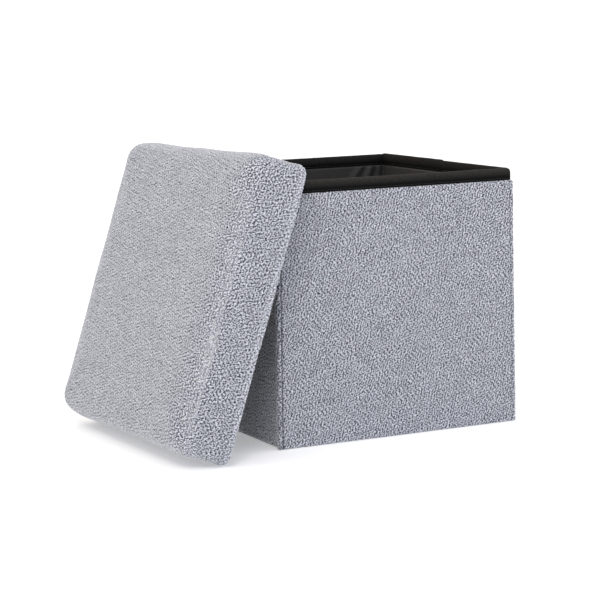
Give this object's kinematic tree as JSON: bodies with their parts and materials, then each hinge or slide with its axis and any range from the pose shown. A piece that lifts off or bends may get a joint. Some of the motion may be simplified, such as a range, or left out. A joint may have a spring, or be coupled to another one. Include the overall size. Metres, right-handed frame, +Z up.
{
  "type": "folding storage ottoman",
  "caption": "Cube storage ottoman in boucle cloth: open folding box with a black bound rim, and its padded lift-off lid leaning on the left side.",
  "frame": {"origin": "on the floor under the middle of the box", "axes": "+X to the right along the front of the box, +Y to its back, +Z up"},
  "size_m": [0.5437, 0.4173, 0.3887],
  "materials": {
    "boucle": "light grey boucle with small curled nubs",
    "nonwoven_lining": "black non-woven lining",
    "rim_binding": "black woven binding, stitched along its lower edge",
    "board": "plain fibreboard",
    "foam": "open-cell foam"
  },
  "bodies": {
    "root": {"front_board": "board", "front_cover": "boucle", "front_lining": "nonwoven_lining", "front_binding": "rim_binding", "base_cloth": "nonwoven_lining", "base_hem_back": "boucle", "base_hem_left": "boucle", "base_hem_right": "boucle"},
    "right_front": {"right_front_board": "board", "right_front_cover": "boucle", "right_front_lining": "nonwoven_lining", "right_front_binding": "rim_binding"},
    "right_back": {"right_back_board": "board", "right_back_cover": "boucle", "right_back_lining": "nonwoven_lining", "right_back_binding": "rim_binding"},
    "back": {"back_board": "board", "back_cover": "boucle", "back_lining": "nonwoven_lining", "back_binding": "rim_binding"},
    "left_back": {"left_back_board": "board", "left_back_cover": "boucle", "left_back_lining": "nonwoven_lining", "left_back_binding": "rim_binding"},
    "left_front": {"left_front_board": "board", "left_front_cover": "boucle", "left_front_lining": "nonwoven_lining", "left_front_binding": "rim_binding"},
    "floor_panel": {"floor_board": "board", "floor_board_cover": "nonwoven_lining"},
    "lid": {"lid_cover": "boucle", "lid_foam_pad": "foam", "lid_board": "board", "lid_lining": "nonwoven_lining", "lid_skirt_board_upper": "board", "lid_skirt_board_lower": "board", "lid_skirt_board_front": "board", "lid_skirt_board_back": "board"}
  },
  "joints": [
    {"name": "fold", "type": "hinge", "parent": "root", "child": "right_front", "pos_m": [0.1704, -0.1624, 0.008], "axis": [0, 0, 1], "range_deg": [0, 88]},
    {"name": "right_crease", "type": "hinge", "parent": "right_front", "child": "right_back", "pos_m": [0.178, 0, 0.008], "axis": [0, 0, 1], "range_deg": [-176, 0]},
    {"name": "back_right_corner", "type": "hinge", "parent": "right_back", "child": "back", "pos_m": [0.1704, 0.1624, 0.008], "axis": [0, 0, 1], "range_deg": [0, 88]},
    {"name": "back_left_corner", "type": "hinge", "parent": "back", "child": "left_back", "pos_m": [-0.1704, 0.1624, 0.008], "axis": [0, 0, 1], "range_deg": [0, 88]},
    {"name": "front_left_corner", "type": "hinge", "parent": "root", "child": "left_front", "pos_m": [-0.1704, -0.1624, 0.008], "axis": [0, 0, 1], "range_deg": [-88, 0]},
    {"name": "floor_panel_tilt", "type": "hinge", "parent": "root", "child": "floor_panel", "pos_m": [0, -0.1696, 0.0068], "axis": [1, 0, 0], "range_deg": [0, 90]},
    {"name": "lid_lift", "type": "slide", "parent": "root", "child": "lid", "axis": [0, 0, 1], "range_m": [0, 0.4]}
  ],
  "couplings": [
    {"joint": "right_crease", "follows": "fold", "ratio": -2},
    {"joint": "back_right_corner", "follows": "fold", "ratio": 1},
    {"joint": "back_left_corner", "follows": "fold", "ratio": 1},
    {"joint": "front_left_corner", "follows": "fold", "ratio": -1}
  ]
}
